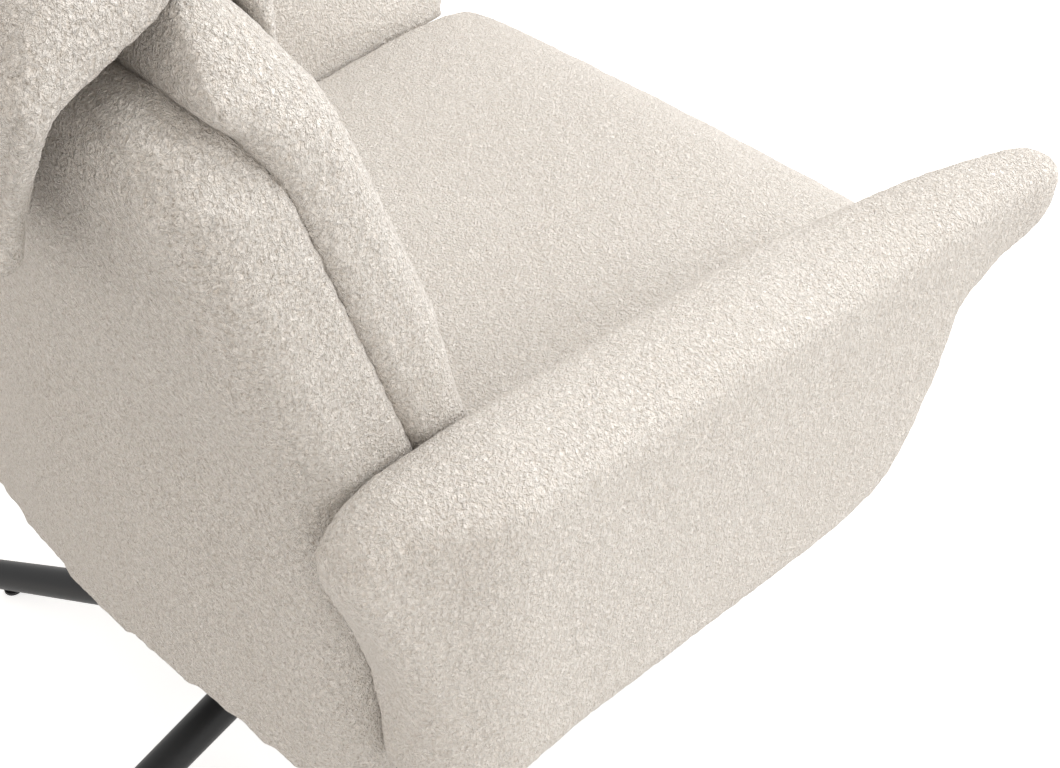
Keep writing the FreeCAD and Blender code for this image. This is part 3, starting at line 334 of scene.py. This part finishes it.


# Three copies of one fabric that differ in painted light: the lighter-pitted copy for the brightly lit seat and
# arms, and the darker-pitted copy as painted shade on the rear shell and headrest.
cream = teddy("teddy", 0.0065, (0.66, 0.592, 0.520))
lit_cream = teddy("teddy_painted_lit", 0.0058, (0.70, 0.632, 0.560))
shaded_cream = teddy("teddy_painted_shade", 0.0068, (0.60, 0.535, 0.465))
FINISHES = {
    "teddy": cream,
    "black_metal": coated("black_metal", (0.004, 0.004, 0.0045), (0.007, 0.007, 0.0075), 0.45, 900, 0.0003),
    "steel": coated("steel", (0.50, 0.50, 0.51), (0.62, 0.62, 0.63), 0.32, 1400, 0.0001, metallic=1.0),
    "black_plastic": coated("black_plastic", (0.014, 0.014, 0.015), (0.024, 0.024, 0.025), 0.55, 1500, 0.0003),
    "plywood": wooden("plywood"),
    "webbing": woven("webbing", (0.05, 0.045, 0.04), (0.16, 0.15, 0.135), 0.004),
    "dust_cloth": woven("dust_cloth", (0.018, 0.018, 0.018), (0.045, 0.045, 0.045), 0.0018),
}
for part in frame["record"]["subparts"]:
    mesh = nodes[part["node"]].data
    mesh.materials.clear()
    mesh.materials.append(FINISHES[part["material_slot"]])


# Upholstery

ROUNDER_ROUNDS = 24
SHAPED_ROUNDS = 4
FILLED_ROUNDS = 2


def dressed(obj, node, body, fabric):
    obj.data.materials.clear()
    obj.data.materials.append(fabric)
    obj.data.shade_smooth()
    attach(obj, body)
    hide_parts(node)


def swollen(obj, amount):
    set_points(obj, points(obj) + amount * normals(obj))


def cushion(node, name, body, fabric=cream, voxel=0.006, rounds=4, proud=0.0015, pressure=0, cap=0.0,
            held=None, rounder=None, shape=None, stuffing=None, finish=None):
    """A padded piece grown from its CAD solid: softened, shaped, filled, covered with pile and trimmed."""
    obj = copied(node, name)
    remesh(obj, voxel, rounds)
    if rounder:
        soften_near(obj, rounder(points(obj)), ROUNDER_ROUNDS)
    if shape:
        set_points(obj, shape(points(obj)))
        if stuffing:
            joined(obj, *stuffing())
        remesh(obj, voxel, SHAPED_ROUNDS)
    swollen(obj, proud)
    if pressure:
        inflate(obj, held(points(obj), normals(obj)), pressure, cap)
        soften(obj, FILLED_ROUNDS)
    subdivide(obj)
    tufts(obj)
    if finish:
        set_points(obj, finish(points(obj), normals(obj)))
    dressed(obj, node, body, fabric)


seat_low, seat_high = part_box("seat_cushion")
arm_low, arm_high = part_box("arm_pad_left")
arm_face = arm_low.x
shell_low, shell_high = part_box("back_shell")
back_side = shell_high.x
pad_low, pad_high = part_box("back_cushion")
rest_low, rest_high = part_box("headrest_cushion")


def seat_held(at, facing):
    """The seat is held along its base, at its rear and where the arms press on its sides."""
    base = 1 - ease(seat_low.z + 0.004, seat_low.z + 0.03, at[:, 2])
    side = ease(seat_high.x - 0.020, seat_high.x - 0.005, np.abs(at[:, 0]))
    rear = ease(seat_high.y - 0.020, seat_high.y - 0.004, at[:, 1])
    return np.maximum.reduce([base, 0.95 * side, 0.95 * rear])


def pad_held(at, facing):
    """The back cushion is held along its rear face, its foot and the arms' faces, and behind the pillow."""
    side = ease(pad_high.x - 0.016, pad_high.x - 0.004, np.abs(at[:, 0]))
    rear = ease(0.2, 0.7, facing[:, 1])
    foot = 1 - ease(pad_low.z + 0.01, pad_low.z + 0.05, at[:, 2])
    behind_pillow = ease(rest_low.z - 0.03, rest_low.z + 0.02, at[:, 2])
    return np.maximum.reduce([0.9 * side, rear, foot, behind_pillow])


def rest_held(at, facing):
    """The headrest is held along its lining, which lies on the back, and at its two ends."""
    lining = ease(0.3, 0.8, facing[:, 1]) * (at[:, 1] < rest_low.y + 0.16)
    under = ease(0.3, 0.8, -facing[:, 1]) * (at[:, 1] > rest_low.y + 0.17)
    ends = ease(rest_high.x - 0.02, rest_high.x - 0.006, np.abs(at[:, 0]))
    return np.maximum.reduce([lining, under, 0.9 * ends])


BACK_ALLOWANCE = 0.0008
ARM_ALLOWANCE = 0.0005
CORNER_DROP = 0.015


def beside_back(at, facing):
    """Keeps the back clear of the arms it moves between."""
    limit = back_side + BACK_ALLOWANCE
    at[:, 0] = np.clip(at[:, 0], -limit, limit)
    return at


def shell_form(at, facing):
    """The rear shell's lower corners hang a little lower than its middle."""
    corner = ease(0.14, 0.24, np.abs(at[:, 0])) * (1 - ease(shell_low.z, shell_low.z + 0.09, at[:, 2]))
    at[:, 2] -= CORNER_DROP * corner
    return beside_back(at, facing)


SEAT_LINE = 0.452
SLOT = 0.006
REAR_THINNING = 0.42
APRON_PULL = 0.7
TIP_OUT, TIP_FORWARD, TIP_DROP = 0.005, 0.003, 0.008
HEEL_BACK, HEEL_DROP = 0.005, 0.014
SOLE_DROP = 0.004


def arm_heel(at):
    """The outer side of an arm's rear end, which is rounder than the rest."""
    rear = ease(arm_high.y - 0.12, arm_high.y - 0.05, at[:, 1])
    return rear * ease(arm_face + 0.02, arm_face + 0.05, np.abs(at[:, 0]))


def spans(along, value):
    """The least value at each place along the piece, and where each value lies from there to the greatest."""
    slots = ((along - along.min()) / SLOT).astype(int)
    least = np.full(slots.max() + 1, np.inf)
    most = np.full(slots.max() + 1, -np.inf)
    np.minimum.at(least, slots, value)
    np.maximum.at(most, slots, value)
    return least[slots], (value - least[slots]) / np.maximum(most[slots] - least[slots], 1e-6)


def arm_form(at):
    """Shapes an arm: wing tip low and far out, full heel, thin rear end, inner face down to the seat's line."""
    side = np.sign(at[:, 0])
    out = np.abs(at[:, 0]) - arm_face
    y, z = at[:, 1].copy(), at[:, 2].copy()
    edge, up = spans(y, z)
    inner, across = spans(y, out)
    wing = (1 - ease(0.375, 0.400, -y)) * ease(0.2, 0.3, -y)
    apron = (1 - ease(0, 0.7, across)) * (1 - ease(0, 0.6, up)) * wing
    tip = ease(0.31, 0.41, -y)
    heel = (1 - ease(arm_low.z, arm_low.z + 0.10, z)) * ease(0.06, 0.17, y)
    sole = 1 - ease(arm_low.z, arm_low.z + 0.05, z)
    out = out * (1 - REAR_THINNING * ease(0.12, arm_high.y, y)) + TIP_OUT * tip
    out -= APRON_PULL * apron * np.maximum(inner, 0)
    at[:, 0] = side * (arm_face + out)
    at[:, 1] = y - TIP_FORWARD * tip + HEEL_BACK * heel
    at[:, 2] = z - TIP_DROP * tip - HEEL_DROP * heel - SOLE_DROP * sole - apron * np.maximum(edge - SEAT_LINE, 0)
    return at


def beside_arms(at, facing):
    """Keeps an arm's inner face clear of the back."""
    limit = arm_face - ARM_ALLOWANCE
    at[:, 0] = np.sign(at[:, 0]) * np.maximum(np.abs(at[:, 0]), limit)
    return at


BACK_Y, BACK_Z = 0.107, 0.640
BACK_LEAN = 0.369
BACK_CROWN = 0.0246
BACK_HALF = 0.2715
PILLOW_THINNING = 0.65
PILLOW_NARROWING = 0.08
PILLOW_HALF_WIDTH = 0.208
PILLOW_HALF_HEIGHT = 0.122
PILLOW_LIFT = 0.004
PILLOW_EDGE, PILLOW_CROWN = 0.009, 0.023
PILLOW_LINING = 0.004
PILLOW_CORNER = 5
PILLOW_COLUMNS, PILLOW_ROWS = 61, 37
BRIDGE_DROP = 0.005
FLAP_LOW = 0.0403
FLAP_SEAM = 0.004
FLAP_SIDE = 0.176
FLAP_SLOPE = 0.642
FLAP_ROUND = 0.040
SEAM_WIDTH = 0.003
SEAM_DEPTH = 0.0035


def back_face(x, z):
    """The y of the back cushion's front."""
    return BACK_Y + BACK_LEAN * (z - BACK_Z) - BACK_CROWN * (1 - (x / BACK_HALF) ** 2)


def headrest_form(at):
    """Thins the pillow for its stuffing, draws in its ends and lays the bridge's underside on the back."""
    x, y, z = at[:, 0].copy(), at[:, 1].copy(), at[:, 2].copy()
    ahead = np.maximum(back_face(x, z) - y, 0)
    at[:, 1] += PILLOW_THINNING * ahead * (1 - ease(0.80, 0.90, z))
    at[:, 0] *= 1 - PILLOW_NARROWING * (1 - ease(0.18, 0.25, y))
    bridge = ease(0.225, 0.25, y) * (1 - ease(0.285, 0.31, y)) * (1 - ease(0.87, 0.89, z))
    at[:, 2] -= BRIDGE_DROP * bridge
    return at


def pillow():
    """The pillow's stuffing: a round-cornered closed form on the back cushion's front."""
    across, up = np.meshgrid(np.linspace(-1, 1, PILLOW_COLUMNS), np.linspace(-1, 1, PILLOW_ROWS))
    square = np.maximum(np.abs(across), np.abs(up))
    oval = (np.abs(across) ** PILLOW_CORNER + np.abs(up) ** PILLOW_CORNER) ** (1 / PILLOW_CORNER)
    share = square / np.maximum(oval, 1e-9)
    across, up = across * share, up * share
    rim = np.sqrt(np.maximum(1 - square ** 8, 0))
    x = PILLOW_HALF_WIDTH * across
    z = rest_low.z + PILLOW_LIFT + PILLOW_HALF_HEIGHT * (1 + up)
    thick = (PILLOW_EDGE + PILLOW_CROWN * (1 - across ** 2) ** 1.8) * rim
    face = back_face(x, z)
    front = np.stack((x, face - thick, z), axis=-1).reshape(-1, 3)
    rear = np.stack((x, face + PILLOW_LINING * (1 + rim), z), axis=-1).reshape(-1, 3)
    places = np.arange(PILLOW_ROWS * PILLOW_COLUMNS).reshape(PILLOW_ROWS, PILLOW_COLUMNS)
    behind = places.size
    faces = []
    for low, high in zip(places, places[1:]):
        for a, b, c, d in zip(low.tolist(), low[1:].tolist(), high[1:].tolist(), high.tolist()):
            faces.append((a, b, c, d))
            faces.append((behind + a, behind + d, behind + c, behind + b))
    ring = [*places[0], *places[1:, -1], *places[-1, -2::-1], *places[-2:0:-1, 0]]
    ring = [int(place) for place in ring]
    for a, b in zip(ring, ring[1:] + ring[:1]):
        faces.append((b, a, behind + a, behind + b))
    return np.concatenate((front, rear)).tolist(), faces


def flap_stitching(at, facing):
    """A stitched seam round the flap's outer edge."""
    x = np.abs(at[:, 0])
    z = at[:, 2] - (rest_low.z + FLAP_LOW)
    side = FLAP_SIDE + FLAP_SLOPE * np.maximum(z - FLAP_ROUND, 0)
    across = np.maximum(x - (FLAP_SIDE - FLAP_ROUND), 0)
    below = np.maximum(FLAP_ROUND - z, 0)
    inside = np.where(z < FLAP_ROUND, FLAP_ROUND - np.hypot(across, below), 0.84 * (side - x))
    groove = np.exp(-((inside - FLAP_SEAM) / SEAM_WIDTH) ** 2)
    outer = ease(0.15, 0.5, facing[:, 1]) * (at[:, 1] > rest_high.y - 0.022) * (z < 0.14)
    return at - facing * (SEAM_DEPTH * groove * outer)[:, None]


# Seat and arms take the fabric copy painted lighter for strong light; the rear shell and headrest take the copy
# with painted shade.
cushion("seat_cushion", "seat_pad", "seat", lit_cream, pressure=3, cap=0.022, held=seat_held)
cushion("seat_border", "seat_edge", "seat", lit_cream, voxel=0.005, proud=0.001)
for side in ("right", "left"):
    cushion(f"arm_pad_{side}", f"arm_{side}", "seat", lit_cream, proud=0.0025, rounder=arm_heel,
            shape=arm_form, finish=beside_arms)
cushion("back_shell", "back_rear", "back", shaded_cream, finish=shell_form)
cushion("back_cushion", "back_pad", "back", rounds=8, proud=0.0025, pressure=2.5, cap=0.022, held=pad_held,
        finish=beside_back)
cushion("headrest_cushion", "headrest", "headrest", shaded_cream, pressure=2, cap=0.008, held=rest_held,
        shape=headrest_form, stuffing=pillow, finish=flap_stitching)


# Stage

FLOOR_HALF = 12
FLOOR_DROP = 0.0005
FLOOR_GLOW = 0.62
AMBIENT_TINT = (1.0, 0.95, 0.895, 1)
WHITE = (1, 1, 1, 1)
AIM = Vector((0, 0, 0.45))


def floor_material():
    """Pale floor that reads nearly white to the camera and keeps a faint shadow of the object."""
    material, tree, shader = new_material("floor")
    shader.inputs["Roughness"].default_value = 0.9
    tone = noise_node(tree, object_space(tree), 3)
    colour = ramp(tree, tone, ((0.3, (0.80, 0.80, 0.80)), (0.7, (0.82, 0.82, 0.82))))
    link(tree, colour, shader.inputs["Base Color"])
    shader.inputs["Specular IOR Level"].default_value = 0.0
    shader.inputs["Emission Color"].default_value = WHITE
    glow = math_node(tree, "MULTIPLY", seen_directly(tree), FLOOR_GLOW)
    link(tree, glow, shader.inputs["Emission Strength"])
    return material


floor_mesh = bpy.data.meshes.new("floor")
corners = [(x * FLOOR_HALF, y * FLOOR_HALF, 0) for x, y in ((-1, -1), (1, -1), (1, 1), (-1, 1))]
floor_mesh.from_pydata(corners, [], [(0, 1, 2, 3)])
floor = bpy.data.objects.new("floor", floor_mesh)
floor.location.z = -FLOOR_DROP
scene.collection.objects.link(floor)
floor_mesh.materials.append(floor_material())

# Warm light from all round on the part, white behind it
world = bpy.data.worlds.new("studio")
scene.world = world
world.use_nodes = True
tree = world.node_tree
tree.nodes.clear()
tint = add(tree, "ShaderNodeMix", data_type="RGBA")
tint.inputs["A"].default_value = AMBIENT_TINT
tint.inputs["B"].default_value = WHITE
link(tree, seen_directly(tree), tint.inputs["Factor"])
sky = add(tree, "ShaderNodeBackground", Strength=1.0)
link(tree, tint.outputs["Result"], sky.inputs["Color"])
target = add(tree, "ShaderNodeOutputWorld")
link(tree, sky.outputs[0], target.inputs["Surface"])


def area_light(name, place, width, power, colour):
    lamp = bpy.data.lights.new(name, "AREA")
    lamp.shape = "DISK"
    lamp.size = width
    lamp.energy = power
    lamp.color = colour
    obj = bpy.data.objects.new(name, lamp)
    obj.location = place
    obj.rotation_euler = (AIM - Vector(place)).to_track_quat("-Z", "Y").to_euler()
    scene.collection.objects.link(obj)


area_light("key", (-0.7, -1.5, 2.8), 1.3, 46, (0.95, 0.975, 1.0))
area_light("side", (-2.2, -2.0, 1.7), 0.7, 26, (0.97, 0.985, 1.0))

camera = bpy.data.cameras.new("camera")
camera.sensor_width = 36
camera.lens = 56.85
camera_object = bpy.data.objects.new("camera", camera)
camera_object.location = (-0.9068, 0.6212, 1.2550)
camera_object.rotation_euler = Vector((0.564, -0.526, -0.636)).to_track_quat("-Z", "Y").to_euler()
scene.collection.objects.link(camera_object)
scene.camera = camera_object
scene.view_settings.view_transform = "Standard"
